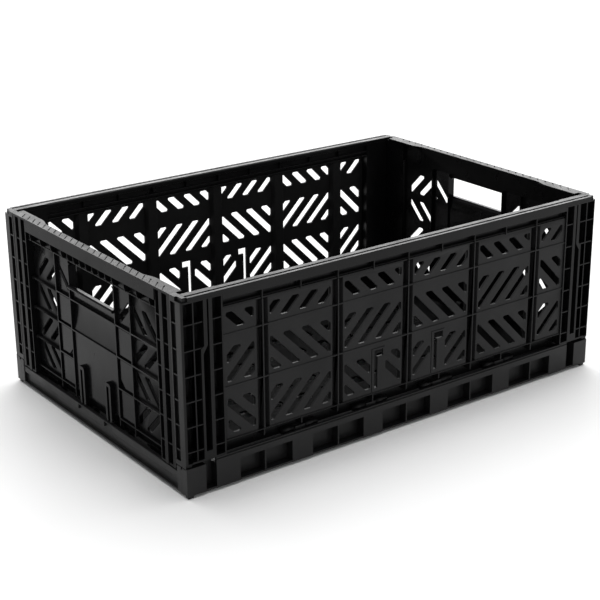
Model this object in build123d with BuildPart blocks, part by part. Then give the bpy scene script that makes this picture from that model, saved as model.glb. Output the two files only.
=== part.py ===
"""Collapsible storage crate with slotted walls, 600 x 400 x 225 mm.

Frame: millimetres, +X along the long side, +Y across, +Z up, origin at the middle of the footprint.
The crate is five mouldings: a base, two long walls with corner posts, and two end walls that fold
inwards on snap-in pins.  Each moulding is divided where its rails, panels and posts meet, face to face.
The front long wall and the left end wall are modelled; the opposite walls are the same mouldings,
turned half round about Z.
"""
import os

from build123d import *

# ---------------------------------------------------------------- driving dimensions
LENGTH = 600.0
WIDTH = 400.0
HEIGHT = 225.0
SKIN = 2.5                 # general moulded wall thickness
RIB = 1.6                  # thin stiffening rib
CLEARANCE = 0.3            # gap between parts that move past each other

HALF_L = LENGTH / 2
HALF_W = WIDTH / 2

# base
FOOT_HEIGHT = 3.5
FOOT_SIZE = 8.0
DECK_TOP = 12.0
DECK_HALF_L = 282.0
LONG_SKIRT_DEPTH = 13.0
LONG_SKIRT_TOP = 39.4      # outer lip of the long sides
SKIRT_FLANGE_TOP = 31.8    # behind the lip, under the folded wall
END_SKIRT_DEPTH = 6.0
END_SKIRT_TOP = 26.0
END_BAND_LOW = 18.5        # lower edge of the end skirt's upper band
BAND_NOTCH_TOP = 24.6
CORNER_BLOCK = 23.4        # length of a corner block along X
CORNER_TOP = 35.5
CORNER_SHOULDER = 34.2     # under the post's return
GRID_PITCH = 40.0          # floor lattice

# long walls
WALL_DEPTH = 15.0
POST_INNER = 250.0         # X where the corner post meets the panel
POST_SPLIT = 292.3         # X where the post meets its end return
RETURN_INNER = 178.0       # Y of the return's inner edge
POST_BOTTOM = 39.7
POST_TOP = 220.5
PANEL_BOTTOM = 55.0
PANEL_TOP = 203.6
BAND_LOW = 214.0           # lower edge of the rim's outer band
CHANNEL_PITCH = 100.0
CHANNEL_HALF = 7.5
ROW_RIBS = (114.0, 173.0)
POST_RIB_FIRST = 53.5
POST_RIB_PITCH = 28.4
POST_RIB_COUNT = 6
SLOT_WIDTH = 11.6          # measured along X on a 45 degree slot
SLOT_PITCH = 24.7
SLOT_CORNER = 1.9
SMALLEST_SLOT = 60.0        # mm2; smaller clippings are left closed

# long wall hinge line, about X
LONG_AXIS_Y = 192.0
LONG_AXIS_Z = 40.5
HINGE_BAR_R = 3.5
HINGE_NECK_R = 2.5
CLIP_X = (-150.0, -50.0, 50.0, 150.0)

# end walls
END_AXIS_X = 288.0
END_AXIS_Z = 18.0
END_HALF_W = 147.5         # half width of the framed panel between the stiles
END_EDGE = RETURN_INNER - CLEARANCE
END_BOTTOM = 28.0          # just over the skirt
END_SKIN_LOW = 24.4        # the inner skin hangs lower, clear of the knuckles as it turns
END_PANEL_BOTTOM = 39.5
END_PANEL_TOP = 199.0
END_RIBS = (76.0, 114.0, 151.5)
RIB_INNER = 51.2           # Y of the upright rib beside the label and the hand-hole
RIB_OUTER = 84.8           # Y of the upright rib beside the slotted column
RIB_FACE = 5.0             # depth of the rib faces behind the rail
END_PLATE = 8.6            # depth of the recessed plates
HANDLE_BOTTOM = 168.0
HANDLE_TOP = 194.5
TAB_Y = (-120.0, -40.0, 40.0, 120.0)
TAB_HALF = 12.0
PIN_R = 3.0
PIN_BORE_R = 3.05

os.makedirs("parts", exist_ok=True)

MIN3 = (Align.MIN, Align.MIN, Align.MIN)


# ---------------------------------------------------------------- helpers
def save(piece, name):
    """Label a finished piece and write its STEP file."""
    piece.part.label = name
    export_step(piece.part, f"parts/{name}.step")


def save_turned(piece, name):
    """The same moulding at the opposite side: turned half round about Z."""
    with BuildPart() as turned:
        add(piece.part, rotation=(0, 0, 180))
    save(turned, name)


def save_mirrored(piece, name, about):
    """The matching handed feature of the same moulding."""
    with BuildPart() as mirrored:
        mirror(piece.part, about=about)
    save(mirrored, name)
    return mirrored


def block(x, y, z, mode=Mode.ADD):
    """A box between two limits on each axis, in the current builder."""
    with Locations((min(x), min(y), min(z))):
        Box(abs(x[1] - x[0]), abs(y[1] - y[0]), abs(z[1] - z[0]), align=MIN3, mode=mode)


def long_face(depth):
    """Sketch plane on the front wall, depth behind its outer face: local x is X, local y is Z."""
    return Plane(origin=(0, -HALF_W + depth, 0), x_dir=(1, 0, 0), z_dir=(0, -1, 0))


def end_face(depth):
    """Sketch plane on the left wall, depth behind its outer face: local x is -Y, local y is Z."""
    return Plane(origin=(-HALF_L + depth, 0, 0), x_dir=(0, -1, 0), z_dir=(-1, 0, 0))


def slot_faces(plane, cell, lean, phase, pitch, keep=range(-4, 5)):
    """45 degree slots trimmed to a rectangular cell, with rounded corners.

    cell is (low x, high x, low z, high z); lean is +1 for slots that rise to the right and -1 for
    slots that rise to the left; phase is the x of one slot's middle at half the cell's height.
    """
    x0, x1, z0, z1 = cell
    reach = (z1 - z0) / 2 + 5
    middle = (z0 + z1) / 2
    overhang = (z1 - z0) / 2 + SLOT_WIDTH / 2 - 1
    faces = []
    for k in keep:
        at = phase + k * pitch
        if at + overhang < x0 or at - overhang > x1:
            continue
        with BuildSketch(plane, mode=Mode.PRIVATE) as slot:
            corners = [
                (at - SLOT_WIDTH / 2 - lean * reach, middle - reach),
                (at + SLOT_WIDTH / 2 - lean * reach, middle - reach),
                (at + SLOT_WIDTH / 2 + lean * reach, middle + reach),
                (at - SLOT_WIDTH / 2 + lean * reach, middle + reach),
            ]
            Polygon(*corners, align=None)
            with Locations(((x0 + x1) / 2, middle)):
                Rectangle(x1 - x0, z1 - z0, mode=Mode.INTERSECT)
            big_enough = slot.sketch.area > SMALLEST_SLOT
            if big_enough:
                # in and out again: every corner is rounded and no sliver is left
                offset(amount=-SLOT_CORNER, kind=Kind.INTERSECTION, mode=Mode.REPLACE)
                offset(amount=SLOT_CORNER, kind=Kind.ARC, mode=Mode.REPLACE)
        if big_enough:
            faces.append(slot.sketch)
    return faces


def post_rib_heights():
    return [POST_RIB_FIRST + POST_RIB_PITCH * k for k in range(POST_RIB_COUNT)]


OUT = -HALF_W              # outer face of the front wall
INN = -HALF_W + WALL_DEPTH # its inner face
BACK = INN - SKIN          # back of the moulded pockets

# ================================================================ LONG WALLS
# ---------------------------------------------------------------- top rim
rim_profile = [
    (OUT, HEIGHT), (OUT, BAND_LOW), (OUT + 7.5, BAND_LOW), (OUT + 7.5, PANEL_TOP + 1.8),
    (OUT + 2, PANEL_TOP + 1.8), (OUT + 2, PANEL_TOP), (INN, PANEL_TOP), (INN, PANEL_TOP + 1.8),
    (INN - 5, PANEL_TOP + 1.8), (INN - 5, 208.9), (INN - 0.4, 208.9), (INN - 0.4, 210.6),
    (INN - 5, 210.6), (INN - 5, 219), (INN, 219), (INN, HEIGHT - 1.5), (INN - 1.5, HEIGHT),
]
with BuildPart() as front_rim:
    with BuildSketch(Plane.YZ.offset(-POST_INNER)):
        with BuildLine():
            Polyline(*rim_profile, close=True)
        make_face()
    extrude(amount=2 * POST_INNER)
    block((-POST_INNER, POST_INNER), (OUT + SKIN, INN - 7), (216.5, HEIGHT - SKIN), Mode.SUBTRACT)
    for side in (-1, 1):
        block((side * POST_INNER, side * POST_SPLIT), (OUT, INN), (POST_TOP, HEIGHT))
    block((-POST_SPLIT, POST_SPLIT), (OUT + 4, OUT + 7), (HEIGHT - 1.2, HEIGHT), Mode.SUBTRACT)
    # outer channel under the band: one thin line along it, crossed by short ribs
    block((-POST_INNER, POST_INNER), (OUT + 2, OUT + 7.5), (206.5, 207.3))
    for k in range(-4, 5):
        block((50 * k - 0.7, 50 * k + 0.7), (OUT + 0.8, OUT + 7.5), (PANEL_TOP, BAND_LOW))
        block((50 * k - 0.6, 50 * k + 0.6), (INN - 5, INN - 0.4), (210.6, 219))
save(front_rim, "front_rim")
save_turned(front_rim, "back_rim")

# ---------------------------------------------------------------- slotted panels
PLATE_OUT = OUT + 2
PLATE_IN = PLATE_OUT + SKIN
SLOT_ROWS = ((180.0, 198.0), (120.0, 159.5), (61.0, 101.0))
CELL_X = (-228.0, -150.0, -50.0, 50.0, 150.0, 228.0)
HOOK_ZONES = ((-52.0, -33.0), (37.0, 57.0))


def cell_windows(index, row):
    """The stretches of a cell that carry slots; card hooks interrupt the lowest row."""
    half = 17.5 if index in (0, 5) else 40.5
    low, high = CELL_X[index] - half, CELL_X[index] + half
    if row == 2 and index in (2, 3):
        hook_low, hook_high = HOOK_ZONES[index - 2]
        return [(low, hook_low - 1.5), (hook_high + 1.5, high)]
    return [(low, high)]


def slot_phase(row, lean):
    """Where the slot pattern sits from the cell's middle; the top row is a cut-off taller cell."""
    if row == 0:
        return -14.0 if lean > 0 else -6.5
    return 2.0 if lean > 0 else 0.0


with BuildPart() as front_grille:
    for middle in CELL_X[1:5]:
        block((middle - 42.5, middle + 42.5), (PLATE_OUT, PLATE_IN), (PANEL_BOTTOM, PANEL_TOP))
    for side in (-1, 1):
        block((side * 207.5, side * POST_INNER), (PLATE_OUT, PLATE_IN), (PANEL_BOTTOM, PANEL_TOP))
    for index, middle in enumerate(CELL_X):
        for row, (low, high) in enumerate(SLOT_ROWS):
            lean = 1 if (index + row) % 2 else -1
            for left, right in cell_windows(index, row):
                phase = middle + slot_phase(row, lean)
                for face in slot_faces(long_face(0), (left, right, low, high), lean, phase, SLOT_PITCH):
                    extrude(face, amount=-8, mode=Mode.SUBTRACT)
    # card hooks: a window at the top of a long slit, inside a shallow outline
    for left, right in HOOK_ZONES:
        block((left + 4.5, left + 9), (PLATE_OUT, PLATE_IN), (60, 98), Mode.SUBTRACT)
        block((left + 4.5, right - 2), (PLATE_OUT, PLATE_IN), (98, 106), Mode.SUBTRACT)
        block((left, left + 1), (PLATE_OUT, PLATE_OUT + 1), (56, 109), Mode.SUBTRACT)
        block((left, right), (PLATE_OUT, PLATE_OUT + 1), (108, 109), Mode.SUBTRACT)
    # row ribs on the outer face of every plate
    for height in ROW_RIBS:
        for middle in CELL_X[1:5]:
            block((middle - 42.5, middle + 42.5), (PLATE_OUT - 1, PLATE_OUT), (height, height + RIB))
        for side in (-1, 1):
            block((side * 207.5, side * POST_INNER), (PLATE_OUT - 1, PLATE_OUT), (height, height + RIB))
save(front_grille, "front_grille")
save_turned(front_grille, "back_grille")

# ---------------------------------------------------------------- deep vertical channels
CHANNEL_BACK = OUT + 8.6
channel_half = [
    (CHANNEL_HALF, OUT + 2), (CHANNEL_HALF, PLATE_IN), (CHANNEL_HALF + 2, PLATE_IN), (6.4, CHANNEL_BACK + 2),
]
with BuildPart() as front_channels:
    for k in range(-2, 3):
        at = k * CHANNEL_PITCH
        # side walls lean together towards the back, so that the wall draws off its mould
        right = [(at + x, y) for x, y in channel_half]
        left = [(at - x, y) for x, y in reversed(channel_half)]
        with BuildSketch(Plane.XY.offset(PANEL_BOTTOM)):
            Polygon(*right, *left, (at - 4.8, CHANNEL_BACK), (at + 4.8, CHANNEL_BACK), align=None)
        extrude(amount=PANEL_TOP - PANEL_BOTTOM)
        block((at - 0.9, at + 0.9), (OUT + 0.4, CHANNEL_BACK), (PANEL_BOTTOM, PANEL_TOP))
        for height in ROW_RIBS:
            with BuildSketch(Plane.XY.offset(height)):
                Polygon((at + CHANNEL_HALF, OUT + 1), (at + CHANNEL_HALF, OUT + 2), (at + 4.8, CHANNEL_BACK),
                        (at - 4.8, CHANNEL_BACK), (at - CHANNEL_HALF, OUT + 2), (at - CHANNEL_HALF, OUT + 1),
                        align=None)
            extrude(amount=RIB)
save(front_channels, "front_channels")
save_turned(front_channels, "back_channels")

# ---------------------------------------------------------------- bottom rail
RAIL_LOW = 44.0            # underside of the hinge flange
SKIN_LOW = 36.0            # the inner skin hangs lower and closes the gap above the base
with BuildPart() as front_bottom_rail:
    block((-POST_INNER, POST_INNER), (BACK, INN), (SKIN_LOW, PANEL_BOTTOM))
    block((-POST_INNER, POST_INNER), (OUT + 1, BACK), (PANEL_BOTTOM - 1.4, PANEL_BOTTOM))
    for k in range(-4, 5):
        with BuildSketch(Plane.YZ.offset(50 * k - 0.9)) as hanging_rib:
            with Locations(((OUT + 1.4 + BACK) / 2, (PANEL_BOTTOM - 1.4 + 45) / 2)):
                Rectangle(BACK - OUT - 1.4, PANEL_BOTTOM - 1.4 - 45)
            lowest = hanging_rib.vertices().group_by(Axis.Z)[0].sort_by(Axis.Y)[0]
            fillet(lowest, radius=3)
        extrude(amount=1.8)
save(front_bottom_rail, "front_bottom_rail")
save_turned(front_bottom_rail, "back_bottom_rail")

# ---------------------------------------------------------------- hinge bars with their snap necks
NECK_HALF = 8.0
BAR_REACH = 24.0
with BuildPart() as front_hinge_bar:
    for at in CLIP_X:
        with BuildSketch(Plane.YZ.offset(at - NECK_HALF)):
            with Locations((-LONG_AXIS_Y, LONG_AXIS_Z)):
                Circle(HINGE_NECK_R)
        extrude(amount=2 * NECK_HALF)
        for start in (at - BAR_REACH, at + NECK_HALF):
            with BuildSketch(Plane.YZ.offset(start)):
                with Locations((-LONG_AXIS_Y, LONG_AXIS_Z)):
                    Circle(HINGE_BAR_R)
                with Locations(((-LONG_AXIS_Y + BACK) / 2, RAIL_LOW - 0.9)):
                    Rectangle(BACK + LONG_AXIS_Y, 1.8)
            extrude(amount=BAR_REACH - NECK_HALF)
save(front_hinge_bar, "front_hinge_bar")
save_turned(front_hinge_bar, "back_hinge_bar")

# ---------------------------------------------------------------- corner post, open pockets outside
BAR_1 = (-273.8, -269.3)
BAR_2 = (-267.3, -262.8)
STEP_Z = 167.0
bar_outline = [
    (BAR_1[0], POST_TOP - 1.5), (BAR_1[1], POST_TOP - 1.5), (BAR_1[1], STEP_Z + 2),
    (-274.8, STEP_Z - 7), (-274.8, POST_BOTTOM + 2), (-277.8, POST_BOTTOM + 2), (-277.8, STEP_Z - 1),
    (BAR_1[0], STEP_Z + 2),
]
with BuildPart() as front_left_post:
    block((-POST_SPLIT, -POST_INNER), (BACK, INN), (SKIN_LOW, POST_TOP))
    block((-POST_SPLIT, -POST_INNER), (OUT, BACK), (POST_TOP - 1.8, POST_TOP))
    block((-POST_SPLIT, -POST_INNER), (OUT, BACK), (POST_BOTTOM, POST_BOTTOM + 2.2))
    block((-POST_SPLIT, -POST_INNER), (BACK - 2.5, BACK), (POST_BOTTOM + 2.2, RAIL_LOW + 2))
    block((-286.5, -284.9), (OUT + 0.6, BACK), (POST_BOTTOM, POST_TOP))
    block((-POST_INNER - 1.8, -POST_INNER), (OUT + 0.2, BACK), (POST_BOTTOM, POST_TOP))
    block(BAR_2, (OUT, BACK), (POST_BOTTOM, POST_TOP))
    block((-274.8, BAR_2[0]), (OUT, BACK), (POST_BOTTOM, 50))
    with BuildSketch(long_face(0)):
        Polygon(*bar_outline, align=None)
    extrude(amount=-(WALL_DEPTH - SKIN))
    for height in post_rib_heights():
        block((-POST_SPLIT, BAR_1[0] - 1), (OUT + 0.7, BACK), (height - 0.7, height + 0.7))
        block((BAR_2[1], -POST_INNER - 1.8), (OUT + 0.7, BACK), (height - 0.7, height + 0.7))
save(front_left_post, "front_left_post")
save_turned(front_left_post, "back_right_post")
front_right_post = save_mirrored(front_left_post, "front_right_post", Plane.YZ)
save_turned(front_right_post, "back_left_post")

# ---------------------------------------------------------------- end return of the post
RETURN_BOTTOM = 35.2
with BuildPart() as front_left_return:
    block((-HALF_L, -POST_SPLIT), (OUT, -RETURN_INNER), (RETURN_BOTTOM, HEIGHT))
    corner_edge = front_left_return.edges().filter_by(Axis.Z).sort_by(Axis.Y)[0:2].sort_by(Axis.X)[0]
    fillet(corner_edge, radius=2.4)
    block((-HALF_L, -POST_SPLIT), (OUT, OUT + 2.3), (RETURN_BOTTOM, POST_BOTTOM), Mode.SUBTRACT)
    # recess of the end column and pocket of the long face, crossed by the post's ribs
    block((-HALF_L, -HALF_L + 3), (-188.5, -RETURN_INNER - 1.8), (41, 218.5), Mode.SUBTRACT)
    block((-HALF_L + 2, -POST_SPLIT), (OUT, OUT + 10.3), (41, POST_TOP - 1.8), Mode.SUBTRACT)
    for height in post_rib_heights():
        block((-HALF_L + 0.4, -HALF_L + 3), (-188.5, -RETURN_INNER - 1.8), (height - 0.7, height + 0.7))
        block((-HALF_L + 2, -POST_SPLIT), (OUT + 0.7, OUT + 10.3), (height - 0.7, height + 0.7))
    # stacking rebate round the top corner
    block((-HALF_L, -HALF_L + 2.6), (OUT, -188), (POST_TOP, HEIGHT), Mode.SUBTRACT)
    block((-HALF_L, -POST_SPLIT), (OUT, OUT + 2.2), (POST_TOP, HEIGHT), Mode.SUBTRACT)
save(front_left_return, "front_left_return")
save_turned(front_left_return, "back_right_return")
front_right_return = save_mirrored(front_left_return, "front_right_return", Plane.YZ)
save_turned(front_right_return, "back_left_return")

# ================================================================ BASE
SKIRT_IN = OUT + LONG_SKIRT_DEPTH
CORNER_X = HALF_L - CORNER_BLOCK
SLOT_X = 263.4             # inner side of the open slot beside each corner block
# ---------------------------------------------------------------- floor lattice
with BuildPart() as base_floor:
    block((-DECK_HALF_L, DECK_HALF_L), (SKIRT_IN, -SKIRT_IN), (DECK_TOP - SKIN, DECK_TOP))
    with BuildSketch(Plane.XY.offset(DECK_TOP)) as windows:
        with GridLocations(GRID_PITCH, GRID_PITCH, 12, 9):
            RectangleRounded(18, 18, 3.5)
    extrude(amount=-SKIN, mode=Mode.SUBTRACT)
    with BuildSketch(Plane.XY.offset(FOOT_HEIGHT)):
        with GridLocations(GRID_PITCH, 0, 15, 1):
            Rectangle(2, -2 * SKIRT_IN)
        with GridLocations(0, GRID_PITCH, 1, 10):
            Rectangle(2 * DECK_HALF_L, 2)
    extrude(amount=DECK_TOP - SKIN - FOOT_HEIGHT)
save(base_floor, "base_floor")

# ---------------------------------------------------------------- long side of the base
FLUSH_BLOCKS = ((-SLOT_X, -233.0), (-164, -136), (-64, -36), (36, 64), (136, 164), (233.0, SLOT_X))
with BuildPart() as base_front:
    block((-CORNER_X, CORNER_X), (SKIRT_IN - 2, SKIRT_IN), (FOOT_HEIGHT, SKIRT_FLANGE_TOP))
    block((-CORNER_X, CORNER_X), (OUT + 0.6, SKIRT_IN - 2), (FOOT_HEIGHT, FOOT_HEIGHT + 2))
    for side in (-1, 1):
        block((side * SLOT_X, side * CORNER_X), (SKIRT_IN - 2, SKIRT_IN), (SKIRT_FLANGE_TOP, 35.8))
    block((-SLOT_X, SLOT_X), (OUT, SKIRT_IN - 2), (SKIRT_FLANGE_TOP - 2, SKIRT_FLANGE_TOP))
    # lip with a fine double line along its outer face
    block((-SLOT_X, SLOT_X), (OUT, OUT + 3), (SKIRT_FLANGE_TOP, LONG_SKIRT_TOP))
    block((-SLOT_X, SLOT_X), (OUT, OUT + 1.2), (36.6, 38.4), Mode.SUBTRACT)
    for start, end in FLUSH_BLOCKS:
        block((start, end), (OUT, SKIRT_IN - 2), (FOOT_HEIGHT, SKIRT_FLANGE_TOP))
        block((start + 2.5, end - 2.5), (OUT + SKIN, SKIRT_IN - 2), (FOOT_HEIGHT, SKIRT_FLANGE_TOP - 2),
              Mode.SUBTRACT)
    for k in range(-2, 3):
        block((100 * k - 0.9, 100 * k + 0.9), (OUT + 0.4, SKIRT_IN - 2), (FOOT_HEIGHT, SKIRT_FLANGE_TOP))
save(base_front, "base_front")
save_turned(base_front, "base_back")

# ---------------------------------------------------------------- end side of the base
with BuildPart() as base_left:
    end_section = [
        (-HALF_L, FOOT_HEIGHT), (-DECK_HALF_L, FOOT_HEIGHT), (-DECK_HALF_L, FOOT_HEIGHT + SKIN),
        (-HALF_L + END_SKIRT_DEPTH, FOOT_HEIGHT + SKIN), (-HALF_L + END_SKIRT_DEPTH, END_SKIRT_TOP),
        (-HALF_L + 1.4, END_SKIRT_TOP), (-HALF_L + 0.8, END_SKIRT_TOP - 0.6), (-HALF_L + 0.8, END_BAND_LOW),
        (-HALF_L + 3.5, END_BAND_LOW), (-HALF_L + 3.5, FOOT_HEIGHT + 2), (-HALF_L, FOOT_HEIGHT + 2),
    ]
    with BuildSketch(Plane.XZ.offset(SKIRT_IN)):
        with BuildLine():
            Polyline(*end_section, close=True)
        make_face()
    extrude(amount=-2 * SKIRT_IN)
    for side in (-1, 1):
        block((-HALF_L, -HALF_L + 3.5), (side * 179.4, side * -SKIRT_IN), (FOOT_HEIGHT, CORNER_SHOULDER))
        # notch in the band below each label clip
        block((-HALF_L, -HALF_L + 3.5), (side * 21, side * 40), (END_BAND_LOW, BAND_NOTCH_TOP), Mode.SUBTRACT)
save(base_left, "base_left")
save_turned(base_left, "base_right")

# ---------------------------------------------------------------- corner blocks with their feet
with BuildPart() as base_corner:
    block((-HALF_L, -CORNER_X), (OUT, SKIRT_IN), (FOOT_HEIGHT, SKIRT_FLANGE_TOP))
    block((-HALF_L, -CORNER_X), (OUT, OUT + 10), (SKIRT_FLANGE_TOP, CORNER_TOP))
    block((-HALF_L, -POST_SPLIT + 0.4), (OUT + 2, SKIRT_IN), (CORNER_SHOULDER, CORNER_TOP), Mode.SUBTRACT)
    outer_edge = base_corner.edges().filter_by(Axis.Z).sort_by(lambda e: e.center().X + e.center().Y)[0]
    fillet(outer_edge, radius=1.6)
    with BuildSketch(Plane.XY.offset(FOOT_HEIGHT)):
        with Locations((-HALF_L + FOOT_SIZE / 2 + 1, OUT + FOOT_SIZE / 2 + 1)):
            RectangleRounded(FOOT_SIZE, FOOT_SIZE, 2)
    extrude(amount=-FOOT_HEIGHT, taper=12)
save(base_corner, "base_corner_front_left")
save_turned(base_corner, "base_corner_back_right")
base_corner_right = save_mirrored(base_corner, "base_corner_front_right", Plane.YZ)
save_turned(base_corner_right, "base_corner_back_left")

# ---------------------------------------------------------------- open clips of the long hinge line
with BuildPart() as front_hinge_clips:
    for at in CLIP_X:
        with BuildSketch(Plane.YZ.offset(at - 7)):
            with Locations((-LONG_AXIS_Y + 0.2, (SKIRT_FLANGE_TOP + 43) / 2)):
                Rectangle(7.6, 43 - SKIRT_FLANGE_TOP)
            with Locations((-LONG_AXIS_Y, LONG_AXIS_Z)):
                Circle(HINGE_NECK_R + 0.08, mode=Mode.SUBTRACT)
            with Locations((-LONG_AXIS_Y, LONG_AXIS_Z + 3)):
                Rectangle(4.2, 6, mode=Mode.SUBTRACT)
        extrude(amount=14)
save(front_hinge_clips, "front_hinge_clips")
save_turned(front_hinge_clips, "back_hinge_clips")

# ---------------------------------------------------------------- knuckles that hold the end wall's pins
KNUCKLE_START = TAB_HALF + 0.4
KNUCKLE_WIDTH = 8.0
KNUCKLE_R = 5.6
with BuildPart() as left_knuckles:
    for tab in TAB_Y:
        for side in (-1, 1):
            near = tab + side * KNUCKLE_START
            far = tab + side * (KNUCKLE_START + KNUCKLE_WIDTH)
            block((-END_AXIS_X - 6, -END_AXIS_X + KNUCKLE_R), (near, far), (FOOT_HEIGHT + SKIN, END_AXIS_Z))
            with BuildSketch(Plane.XZ.offset(-min(near, far))):
                with Locations((-END_AXIS_X, END_AXIS_Z)):
                    Circle(KNUCKLE_R)
            extrude(amount=-KNUCKLE_WIDTH)
    with BuildSketch(Plane.XZ.offset(-HALF_W)):
        with Locations((-END_AXIS_X, END_AXIS_Z)):
            Circle(PIN_BORE_R)
    extrude(amount=WIDTH, mode=Mode.SUBTRACT)
save(left_knuckles, "left_knuckles")
save_turned(left_knuckles, "right_knuckles")

# ================================================================ END WALLS
LEFT = -HALF_L
INNER = LEFT + WALL_DEPTH
# ---------------------------------------------------------------- top rail with its hand grip
NARROW = LEFT + 10.5       # the top face is narrower between the transitions
WIDE = LEFT + 15.5
with BuildPart() as left_top_rail:
    with BuildSketch(Plane.XY.offset(HEIGHT - SKIN)):
        with BuildLine():
            Polyline((WIDE, END_EDGE), (LEFT, END_EDGE), (LEFT, -END_EDGE), (WIDE, -END_EDGE), (WIDE, -130))
            Spline((WIDE, -130), (NARROW, -106), tangents=((0, 1), (0, 1)))
            Line((NARROW, -106), (NARROW, 106))
            Spline((NARROW, 106), (WIDE, 130), tangents=((0, 1), (0, 1)))
            Line((WIDE, 130), (WIDE, END_EDGE))
        make_face()
    extrude(amount=SKIN)
    # outer lip, inner wall and the web of the hand grip
    block((LEFT, LEFT + SKIN), (-END_HALF_W, END_HALF_W), (209.5, HEIGHT - SKIN))
    block((LEFT + 8, LEFT + 10.5), (-END_HALF_W, END_HALF_W), (END_PANEL_TOP, HEIGHT - SKIN))
    block((LEFT + 8, LEFT + 10.5), (-RIB_INNER, RIB_INNER), (HANDLE_TOP, END_PANEL_TOP))
    grip_edges = left_top_rail.edges().filter_by(Axis.Y).group_by(Axis.Z)[0]
    fillet(grip_edges, radius=1.1)
    # shallow diagonal flutes along the top face
    for k in range(-12, 13):
        with BuildSketch(Plane.XY.offset(HEIGHT)):
            with Locations((LEFT + 5.6, 13.2 * k)):
                Rectangle(12.6, 1.4, rotation=48)
        extrude(amount=-0.8, mode=Mode.SUBTRACT)
save(left_top_rail, "left_top_rail")
save_turned(left_top_rail, "right_top_rail")

# ---------------------------------------------------------------- curved fins under the outer lip
FIN_Y = [14.5 * k for k in range(-4, 5)] + [side * y for side in (-1, 1) for y in (84.0, 110.0, 136.0)]
with BuildPart() as left_rail_fins:
    block((LEFT + 3, LEFT + 4.5), (-END_HALF_W, END_HALF_W), (END_PANEL_TOP, END_PANEL_TOP + 1.5))
    for at in FIN_Y:
        with BuildSketch(Plane.XZ.offset(-at + 0.6)):
            with BuildLine():
                Polyline((LEFT + 8, END_PANEL_TOP), (LEFT + 3, END_PANEL_TOP))
                RadiusArc((LEFT + 3, END_PANEL_TOP), (LEFT + 0.6, 209.5), 14)
                Polyline((LEFT + 0.6, 209.5), (LEFT + 8, 209.5), (LEFT + 8, END_PANEL_TOP))
            make_face()
        extrude(amount=-1.2)
save(left_rail_fins, "left_rail_fins")
save_turned(left_rail_fins, "right_rail_fins")

# ---------------------------------------------------------------- label panel below the hand-hole
FACE = LEFT + 7.2          # outer face of the label panel
with BuildPart() as left_label_panel:
    with BuildSketch(Plane.XZ.offset(-RIB_INNER)):
        with BuildLine():
            Polyline((FACE, END_PANEL_BOTTOM), (FACE, 112.8), (LEFT + RIB_FACE, 112.8),
                     (LEFT + RIB_FACE, 114.6), (FACE, 114.6))
            ThreePointArc((FACE, 114.6), (LEFT + 9.6, 130), (LEFT + 10.2, 150.6))
            Polyline((LEFT + 10.2, 150.6), (LEFT + 4.6, 150.6), (LEFT + 4.6, 152.4), (LEFT + 8.4, 152.4),
                     (LEFT + 7.2, 164.2), (LEFT + 4, 164.2))
            ThreePointArc((LEFT + 4, 164.2), (LEFT + 2, 166.2), (LEFT + 4, 168.2))
            Polyline((LEFT + 4, 168.2), (LEFT + 8, 168.2), (LEFT + 11, 165), (LEFT + 11, 155),
                     (LEFT + 12.8, 151), (LEFT + 12.8, 110), (LEFT + 10, 106), (LEFT + 10, END_PANEL_BOTTOM),
                     (FACE, END_PANEL_BOTTOM))
        make_face()
    extrude(amount=2 * RIB_INNER)
save(left_label_panel, "left_label_panel")
save_turned(left_label_panel, "right_label_panel")

# ---------------------------------------------------------------- card clips on the label panel
with BuildPart() as left_card_clips:
    for side in (-1, 1):
        with BuildSketch(end_face(7.2)) as clip:
            with Locations((side * 30.5, 51)):
                RectangleRounded(13, 48, 4)
            with Locations((side * 30.5, 48)):
                Rectangle(4.6, 45, mode=Mode.SUBTRACT)
        extrude(amount=4.6)
save(left_card_clips, "left_card_clips")
save_turned(left_card_clips, "right_card_clips")

# ---------------------------------------------------------------- plain side panels beside the label
PLATE_FRONT = LEFT + END_PLATE
PLATE_BACK = PLATE_FRONT + 2.4
with BuildPart() as left_front_side_panel:
    block((PLATE_FRONT, PLATE_BACK), (-RIB_OUTER, -RIB_INNER), (END_PANEL_BOTTOM, END_PANEL_TOP))
    for edge in (-RIB_INNER - RIB, -RIB_OUTER - RIB):
        block((LEFT + RIB_FACE, INNER), (edge, edge + RIB), (END_PANEL_BOTTOM, END_PANEL_TOP))
    for height in END_RIBS:
        block((LEFT + RIB_FACE, PLATE_FRONT), (-RIB_OUTER, -RIB_INNER), (height - 0.8, height + 0.8))
    # plates stand a little proud between the ribs, with a groove round them
    for low, high in ((END_PANEL_BOTTOM + 2, END_RIBS[0] - 3), (END_RIBS[1] + 3, END_RIBS[2] - 3)):
        block((PLATE_FRONT - 1.6, PLATE_FRONT), (-RIB_OUTER + 3, -RIB_INNER - RIB - 3), (low, high))
    # the middle plate's lower inner corner is cut off at a slant
    with BuildSketch(end_face(END_PLATE)):
        Polygon((RIB_OUTER - 3, END_RIBS[0] + 3), (RIB_OUTER - 3, END_RIBS[1] - 3),
                (RIB_INNER + RIB + 3, END_RIBS[1] - 3), (RIB_INNER + RIB + 3, END_RIBS[0] + 12),
                (RIB_INNER + RIB + 12, END_RIBS[0] + 3), align=None)
    extrude(amount=1.6)
    # rounded top corner of the hand-hole
    with BuildSketch(end_face(RIB_FACE)):
        with Locations((RIB_INNER - 4, HANDLE_TOP - 4)):
            Rectangle(4, 4, align=(Align.MIN, Align.MIN))
            Circle(4, mode=Mode.SUBTRACT)
    extrude(amount=-5.5)
    for face in slot_faces(end_face(0), (56.0, 82.0, 157, 185), 1, 70.0, SLOT_PITCH, keep=(0,)):
        extrude(face, amount=-12, mode=Mode.SUBTRACT)
    with BuildSketch(end_face(0)):
        with Locations((79.5, 159)):
            Circle(1.9)
    extrude(amount=-12, mode=Mode.SUBTRACT)
save(left_front_side_panel, "left_front_side_panel")
save_turned(left_front_side_panel, "right_back_side_panel")
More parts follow.
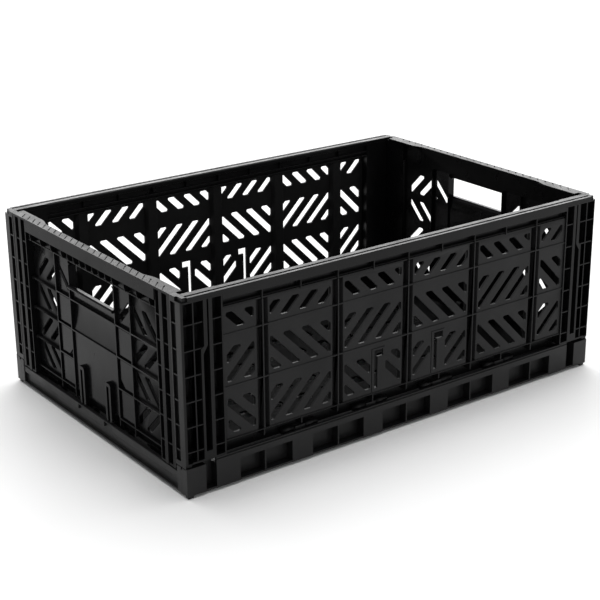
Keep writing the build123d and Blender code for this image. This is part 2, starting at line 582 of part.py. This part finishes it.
left_back_side_panel = save_mirrored(left_front_side_panel, "left_back_side_panel", Plane.XZ)
save_turned(left_back_side_panel, "right_front_side_panel")

# ---------------------------------------------------------------- slotted panels of the end wall
GRILLE_ROWS = ((43.5, 72.5), (80.0, 108.0), (118.0, 145.8), (155.8, 184.0))
GRILLE_EDGE = RIB_OUTER + RIB
GRILLE_CELL = (GRILLE_EDGE + 1.2, 134.6)
with BuildPart() as left_front_grille:
    block((PLATE_FRONT, PLATE_BACK), (-END_HALF_W, -GRILLE_EDGE), (END_PANEL_BOTTOM, END_PANEL_TOP))
    block((PLATE_BACK, INNER), (-END_HALF_W, -END_HALF_W + 2), (END_PANEL_BOTTOM, END_PANEL_TOP))
    for row, (low, high) in enumerate(GRILLE_ROWS):
        lean = -1 if row % 2 else 1
        middle = sum(GRILLE_CELL) / 2
        cell = (*GRILLE_CELL, low, high)
        for face in slot_faces(end_face(0), cell, lean, middle - 12.5, 25.0, keep=(0, 1)):
            extrude(face, amount=-12, mode=Mode.SUBTRACT)
        with BuildSketch(end_face(0)):
            with Locations((GRILLE_CELL[0] + 2.6, high - 2.5 if lean > 0 else low + 2.5)):
                Circle(1.9)
        extrude(amount=-12, mode=Mode.SUBTRACT)
    for height in END_RIBS:
        block((LEFT + RIB_FACE, PLATE_FRONT), (-END_HALF_W, -GRILLE_EDGE), (height - 0.8, height + 0.8))
        with BuildSketch(end_face(END_PLATE)):
            with Locations((END_HALF_W - 3.2, height)):
                Circle(2.1)
        extrude(amount=END_PLATE - RIB_FACE + 0.8)
save(left_front_grille, "left_front_grille")
save_turned(left_front_grille, "right_back_grille")
left_back_grille = save_mirrored(left_front_grille, "left_back_grille", Plane.XZ)
save_turned(left_back_grille, "right_front_grille")

# ---------------------------------------------------------------- stiles at the wall's two edges
STILE_BAR = (-163.0, -156.7)
STILE_LIP = -172.0
with BuildPart() as left_front_stile:
    block((INNER - SKIN, INNER), (-184.6, -END_HALF_W), (END_SKIN_LOW, HEIGHT - SKIN))
    block((-POST_SPLIT + CLEARANCE + 0.1, INNER - SKIN), (-184.6, -END_EDGE), (END_BOTTOM, HEIGHT - SKIN))
    block((LEFT + 0.3, INNER - SKIN), (-END_EDGE, STILE_LIP), (END_BOTTOM, HEIGHT - SKIN))
    block((LEFT, INNER - SKIN), STILE_BAR, (END_BOTTOM, HEIGHT - SKIN))
    block((LEFT + 0.8, INNER - SKIN), (-END_HALF_W - RIB, -END_HALF_W), (END_BOTTOM, HEIGHT - SKIN))
    # lighten the lip into a pocket, then cross both open slots with the ribs
    block((LEFT + 3, INNER - SKIN), (-END_EDGE + 1.8, STILE_LIP - 1.4), (END_BOTTOM + 3, 219), Mode.SUBTRACT)
    block((LEFT + 0.7, INNER - SKIN), (-END_EDGE, -END_HALF_W), (END_BOTTOM, END_BOTTOM + 2))
    for height in post_rib_heights():
        block((LEFT + 0.7, INNER - SKIN), (STILE_LIP, -END_HALF_W), (height - 0.7, height + 0.7))
save(left_front_stile, "left_front_stile")
save_turned(left_front_stile, "right_back_stile")
left_back_stile = save_mirrored(left_front_stile, "left_back_stile", Plane.XZ)
save_turned(left_back_stile, "right_front_stile")

# ---------------------------------------------------------------- bottom rail of the end wall
LEDGE_LOW = END_PANEL_BOTTOM - RIB
with BuildPart() as left_bottom_rail:
    block((LEFT + RIB_FACE, INNER), (-END_HALF_W, END_HALF_W), (LEDGE_LOW, END_PANEL_BOTTOM))
    block((LEFT + RIB_FACE, FACE), (-RIB_INNER, RIB_INNER), (LEDGE_LOW, END_PANEL_BOTTOM), Mode.SUBTRACT)
    block((INNER - 3, INNER), (-END_HALF_W, END_HALF_W), (END_SKIN_LOW, LEDGE_LOW))
    for tab in TAB_Y:
        block((INNER - 3, INNER), (tab - TAB_HALF, tab + TAB_HALF), (END_SKIN_LOW, END_BOTTOM), Mode.SUBTRACT)
    # the upright ribs run on below the ledge
    for at in (-RIB_OUTER, -RIB_INNER, RIB_INNER, RIB_OUTER):
        rib = (at, at + (RIB if at > 0 else -RIB))
        block((LEFT + RIB_FACE, INNER - 3), rib, (END_BOTTOM + 1, LEDGE_LOW))
save(left_bottom_rail, "left_bottom_rail")
save_turned(left_bottom_rail, "right_bottom_rail")

# ---------------------------------------------------------------- hinge tabs with round barrels and pins
BARREL_R = 5.0
with BuildPart() as left_hinge_tabs:
    for tab in TAB_Y:
        block((INNER - 5, INNER), (tab - TAB_HALF, tab + TAB_HALF), (END_AXIS_Z, END_BOTTOM))
        with BuildSketch(Plane.XZ.offset(-tab - TAB_HALF)):
            with Locations((-END_AXIS_X, END_AXIS_Z)):
                Circle(BARREL_R)
        extrude(amount=2 * TAB_HALF)
        with BuildSketch(Plane.XZ.offset(-tab - TAB_HALF - KNUCKLE_WIDTH)):
            with Locations((-END_AXIS_X, END_AXIS_Z)):
                Circle(PIN_R)
        extrude(amount=2 * (TAB_HALF + KNUCKLE_WIDTH))
save(left_hinge_tabs, "left_hinge_tabs")
save_turned(left_hinge_tabs, "right_hinge_tabs")
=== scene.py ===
"""Looks of the collapsible storage crate: black moulded polypropylene on a pale studio floor."""
import math

import bpy
from mathutils import Matrix, Vector

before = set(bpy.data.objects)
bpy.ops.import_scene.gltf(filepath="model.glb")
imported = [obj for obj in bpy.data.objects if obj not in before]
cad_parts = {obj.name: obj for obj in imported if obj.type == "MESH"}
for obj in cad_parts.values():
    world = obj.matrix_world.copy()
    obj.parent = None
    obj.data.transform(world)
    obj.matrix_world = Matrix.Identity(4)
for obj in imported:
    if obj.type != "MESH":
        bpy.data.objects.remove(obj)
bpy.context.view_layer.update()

scene = bpy.context.scene

# ------------------------------------------------------------------ camera, in metres
CAMERA_EYE = (-1.001683, -1.357074, 0.725322)
CAMERA_TARGET = (-0.022898, -0.02388, 0.110)
CAMERA_ROLL = -0.009                    # radians
CAMERA_SENSOR = 36.0                    # millimetres
CAMERA_LENS = 86.62                     # millimetres
CAMERA_CLIP = (0.05, 60.0)

# ------------------------------------------------------------------ plastics
# One row per kind of surface: the deep and the pale tone of its black, its roughness from and to,
# the strength of its grain, how strongly its scuffs show, and its specular level.
PLASTICS = {
    "panel": ((0.0090, 0.0090, 0.0093), (0.0125, 0.0125, 0.0129), (0.42, 0.54), 0.35, 0.25, 0.17),
    "rail": ((0.0030, 0.0030, 0.0032), (0.0056, 0.0056, 0.0059), (0.26, 0.40), 0.25, 0.50, 0.16),
    "post": ((0.0028, 0.0028, 0.0030), (0.0050, 0.0050, 0.0053), (0.28, 0.40), 0.30, 0.35, 0.17),
    "base": ((0.0040, 0.0040, 0.0042), (0.0072, 0.0072, 0.0075), (0.34, 0.48), 0.40, 0.80, 0.26),
    # The deck inside: a darker copy of the black with almost no reflection, painted shade for the
    # crate's shadowed inside.
    "floor": ((0.0014, 0.0014, 0.0015), (0.0024, 0.0024, 0.0025), (0.55, 0.70), 0.40, 0.60, 0.03),
    # The end walls: a darker copy of the wall plastic with weak reflection, painted shade for the
    # dimmer light on the end walls.
    "shaded_end": ((0.0026, 0.0026, 0.0028), (0.0048, 0.0048, 0.0051), (0.24, 0.36), 0.25, 0.35, 0.07),
    "gloss": ((0.0026, 0.0026, 0.0029), (0.0042, 0.0042, 0.0046), (0.16, 0.28), 0.10, 0.30, 0.10),
}

# Noise textures: scale (features in a metre), detail, roughness.
CLOUD_NOISE = (14.0, 4.0, 0.55)         # drift between the deep and the pale tone
PATCH_NOISE = (9.0, 2.0, 0.5)           # where the scuffs gather
SCRATCH_NOISE = (60.0, 5.0, 0.7)        # the scuffs themselves
GLOSS_NOISE = (35.0, 4.0, 0.6)          # change of roughness
GRAIN_NOISE = (1500.0, 2.0, 0.6)        # spark-eroded grain
WAVE_NOISE = (22.0, 2.0, 0.4)           # slight unevenness of the moulding
SCRATCH_STRETCH = (1.0, 1.0, 7.0)       # the scuffs run level

# Which part of each noise's range is used.
CLOUD_RANGE = (0.35, 0.7)
PATCH_RANGE = (0.5, 0.72)
SCRATCH_RANGE = (0.6, 0.72)
GLOSS_RANGE = (0.3, 0.7)

SCUFF_GAIN, SCUFF_LIFT = 2.6, 0.012     # from the pale tone to a scuff's tone
GRAIN_DEPTH = 0.00012
WAVE_STRENGTH, WAVE_DEPTH = 0.25, 0.0012

# A Mix node's colour sockets share their names with its other sockets, so they go by number.
MIX_A, MIX_B, MIX_RESULT = 6, 7, 2

# ------------------------------------------------------------------ edges, in metres and radians
WELD_DISTANCE = 0.00001                 # joins the corners of the CAD mesh's faces
FLAT_ANGLE = math.radians(0.6)          # faces within this angle are made one
EDGE_WIDTH = 0.00034
EDGE_SEGMENTS = 2
EDGE_ANGLE = math.radians(35)           # edges sharper than this are rounded
SLIVER = 0.00002                        # what the rounding leaves, at most
NORMAL_WEIGHT = 80

# ------------------------------------------------------------------ studio, in metres and radians
FLOOR_HALF = 14.0
FLOOR_DROP = 0.0002                     # keeps the floor clear of the feet
FLOOR_GREY = 0.86
FLOOR_ROUGHNESS = 0.9
FLOOR_SPECULAR = 0.1
WORLD_STRENGTH = 0.42
SUN_STRENGTH = 2.9
SUN_SPREAD = math.radians(70)
SUN_TILT = (math.radians(-14), math.radians(12), 0)

# Area lights: place, aim, width and height, power in watts.
AREA_LIGHTS = {
    "front": ((-0.3, -2.6, 0.9), (0.05, 0, 0.12), (2.6, 1.0), 7),
    "back": ((1.5, 2.05, 1.05), (0.05, 0.05, 0.2), (2.2, 0.9), 27),
}


def make_camera():
    """Put the camera at the photograph's viewing angle, with its slight roll."""
    eye = Vector(CAMERA_EYE)
    ahead = (Vector(CAMERA_TARGET) - eye).normalized()
    level = ahead.cross(Vector((0, 0, 1))).normalized()
    upright = level.cross(ahead)
    right = math.cos(CAMERA_ROLL) * level + math.sin(CAMERA_ROLL) * upright
    up = -math.sin(CAMERA_ROLL) * level + math.cos(CAMERA_ROLL) * upright
    data = bpy.data.cameras.new("camera")
    data.sensor_width = CAMERA_SENSOR
    data.lens = CAMERA_LENS
    data.clip_start, data.clip_end = CAMERA_CLIP
    cam = bpy.data.objects.new("camera", data)
    scene.collection.objects.link(cam)
    columns = (right, up, -ahead, eye)
    cam.matrix_world = Matrix([[c[i] for c in columns] for i in range(3)] + [[0, 0, 0, 1]])
    scene.camera = cam


def opaque(colour):
    return tuple(colour) + (1,)


def noise(tree, coords, settings, stretch=None):
    if stretch is not None:
        mapping = tree.nodes.new("ShaderNodeMapping")
        mapping.inputs["Scale"].default_value = stretch
        tree.links.new(coords, mapping.inputs["Vector"])
        coords = mapping.outputs["Vector"]
    texture = tree.nodes.new("ShaderNodeTexNoise")
    for socket, value in zip(("Scale", "Detail", "Roughness"), settings):
        texture.inputs[socket].default_value = value
    tree.links.new(coords, texture.inputs["Vector"])
    return texture.outputs["Fac"]


def ramp(tree, source, limits, top=1.0):
    """Black below the limits, a grey of the top value above them."""
    colours = tree.nodes.new("ShaderNodeValToRGB")
    for element, place, grey in zip(colours.color_ramp.elements, limits, (0, top)):
        element.position = place
        element.color = opaque((grey, grey, grey))
    tree.links.new(source, colours.inputs["Fac"])
    return colours.outputs["Color"]


def mix_colour(tree, factor, a, b):
    """Mix two colours, each given as a tuple or as the socket that it comes from."""
    mix = tree.nodes.new("ShaderNodeMix")
    mix.data_type = "RGBA"
    tree.links.new(factor, mix.inputs["Factor"])
    for value, socket in ((a, mix.inputs[MIX_A]), (b, mix.inputs[MIX_B])):
        if isinstance(value, tuple):
            socket.default_value = value
        else:
            tree.links.new(value, socket)
    return mix.outputs[MIX_RESULT]


def multiply(tree, a, b):
    product = tree.nodes.new("ShaderNodeMath")
    product.operation = "MULTIPLY"
    tree.links.new(a, product.inputs[0])
    tree.links.new(b, product.inputs[1])
    return product.outputs[0]


def map_range(tree, source, limits, result):
    span = tree.nodes.new("ShaderNodeMapRange")
    span.inputs["From Min"].default_value, span.inputs["From Max"].default_value = limits
    span.inputs["To Min"].default_value, span.inputs["To Max"].default_value = result
    tree.links.new(source, span.inputs["Value"])
    return span.outputs["Result"]


def bump(tree, height, strength, depth, under=None):
    relief = tree.nodes.new("ShaderNodeBump")
    relief.inputs["Strength"].default_value = strength
    relief.inputs["Distance"].default_value = depth
    tree.links.new(height, relief.inputs["Height"])
    if under is not None:
        tree.links.new(under, relief.inputs["Normal"])
    return relief.outputs["Normal"]


def plastic(name, deep, pale, roughness, grain, scuff, specular):
    """Moulded polypropylene: spark-eroded grain, faint cloudiness, and pale scuffs in patches."""
    mat = bpy.data.materials.new(name)
    mat.use_nodes = True
    tree = mat.node_tree
    shader = tree.nodes["Principled BSDF"]
    shader.inputs["Specular IOR Level"].default_value = specular
    coords = tree.nodes.new("ShaderNodeTexCoord").outputs["Object"]

    cloud = ramp(tree, noise(tree, coords, CLOUD_NOISE), CLOUD_RANGE)
    clean = mix_colour(tree, cloud, opaque(deep), opaque(pale))
    patch = ramp(tree, noise(tree, coords, PATCH_NOISE), PATCH_RANGE, scuff)
    scratch = ramp(tree, noise(tree, coords, SCRATCH_NOISE, SCRATCH_STRETCH), SCRATCH_RANGE)
    scuffed = opaque(c * SCUFF_GAIN + SCUFF_LIFT for c in pale)
    colour = mix_colour(tree, multiply(tree, patch, scratch), clean, scuffed)
    tree.links.new(colour, shader.inputs["Base Color"])

    rough = map_range(tree, noise(tree, coords, GLOSS_NOISE), GLOSS_RANGE, roughness)
    tree.links.new(rough, shader.inputs["Roughness"])

    fine = bump(tree, noise(tree, coords, GRAIN_NOISE), grain, GRAIN_DEPTH)
    relief = bump(tree, noise(tree, coords, WAVE_NOISE), WAVE_STRENGTH, WAVE_DEPTH, under=fine)
    tree.links.new(relief, shader.inputs["Normal"])
    return mat


def kind_of(name):
    """The row of PLASTICS that a CAD node is given; the end walls and the deck inside get darker
    copies that paint in shade.
    """
    # The deck inside takes the painted-shade copy.
    if name == "base_floor":
        return "floor"
    if name.startswith("base_") or name.endswith(("knuckles", "hinge_clips")):
        return "base"
    if any(word in name for word in ("label", "side_panel", "card")):
        return "gloss"
    # The rest of the end walls takes the painted-shade copy.
    if not name.startswith(("front_", "back_")):
        return "shaded_end"
    if any(word in name for word in ("rim", "rail", "hinge")):
        return "rail"
    if name.endswith(("post", "return")):
        return "post"
    return "panel"


def round_edges(name, obj):
    """Join each flat face's triangles into one face and round the edges, by modifiers alone."""
    weld = obj.modifiers.new("weld", "WELD")
    weld.merge_threshold = WELD_DISTANCE
    flat = obj.modifiers.new("flat", "DECIMATE")
    flat.decimate_type = "DISSOLVE"
    flat.angle_limit = FLAT_ANGLE
    edge = obj.modifiers.new("edge", "BEVEL")
    edge.width = EDGE_WIDTH
    edge.segments = EDGE_SEGMENTS
    edge.limit_method = "ANGLE"
    edge.angle_limit = EDGE_ANGLE
    edge.use_clamp_overlap = True
    # Rounding leaves slivers at the smallest steps. The side panels have none, and this weld
    # would leave loose triangles on them.
    if "side_panel" not in name:
        clean = obj.modifiers.new("clean", "WELD")
        clean.merge_threshold = SLIVER
    normals = obj.modifiers.new("normals", "WEIGHTED_NORMAL")
    normals.weight = NORMAL_WEIGHT


def dress_nodes():
    mats = {kind: plastic("pp_" + kind, *row) for kind, row in PLASTICS.items()}
    for name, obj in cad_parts.items():
        for slot in obj.material_slots:
            slot.material = mats[kind_of(name)]
        round_edges(name, obj)


def make_floor():
    h = FLOOR_HALF
    mesh = bpy.data.meshes.new("floor")
    mesh.from_pydata([(-h, -h, 0), (h, -h, 0), (h, h, 0), (-h, h, 0)], [], [(0, 1, 2, 3)])
    floor = bpy.data.objects.new("floor", mesh)
    floor.location.z = -FLOOR_DROP
    scene.collection.objects.link(floor)
    mat = bpy.data.materials.new("studio_floor")
    mat.use_nodes = True
    shader = mat.node_tree.nodes["Principled BSDF"]
    shader.inputs["Base Color"].default_value = opaque((FLOOR_GREY, FLOOR_GREY, FLOOR_GREY))
    shader.inputs["Roughness"].default_value = FLOOR_ROUGHNESS
    shader.inputs["Specular IOR Level"].default_value = FLOOR_SPECULAR
    mesh.materials.append(mat)


def make_area_light(name, place, aim, size, power):
    data = bpy.data.lights.new(name, "AREA")
    data.shape = "RECTANGLE"
    data.size, data.size_y = size
    data.energy = power
    lamp = bpy.data.objects.new(name, data)
    scene.collection.objects.link(lamp)
    lamp.visible_camera = False
    lamp.location = place
    lamp.rotation_euler = (Vector(aim) - Vector(place)).to_track_quat("-Z", "Y").to_euler()


def make_light():
    """A white world, a very soft sun overhead, and a soft light in front and behind."""
    world = bpy.data.worlds.new("studio")
    world.use_nodes = True
    background = world.node_tree.nodes["Background"]
    background.inputs["Color"].default_value = (1.0, 1.0, 1.0, 1)
    background.inputs["Strength"].default_value = WORLD_STRENGTH
    scene.world = world
    sun = bpy.data.lights.new("overhead", "SUN")
    sun.energy = SUN_STRENGTH
    sun.angle = SUN_SPREAD
    lamp = bpy.data.objects.new("overhead", sun)
    scene.collection.objects.link(lamp)
    lamp.rotation_euler = SUN_TILT
    for name, settings in AREA_LIGHTS.items():
        make_area_light(name, *settings)
    scene.view_settings.view_transform = "Standard"
    scene.view_settings.look = "None"
    scene.view_settings.exposure = 0.0


make_camera()
dress_nodes()
make_floor()
make_light()
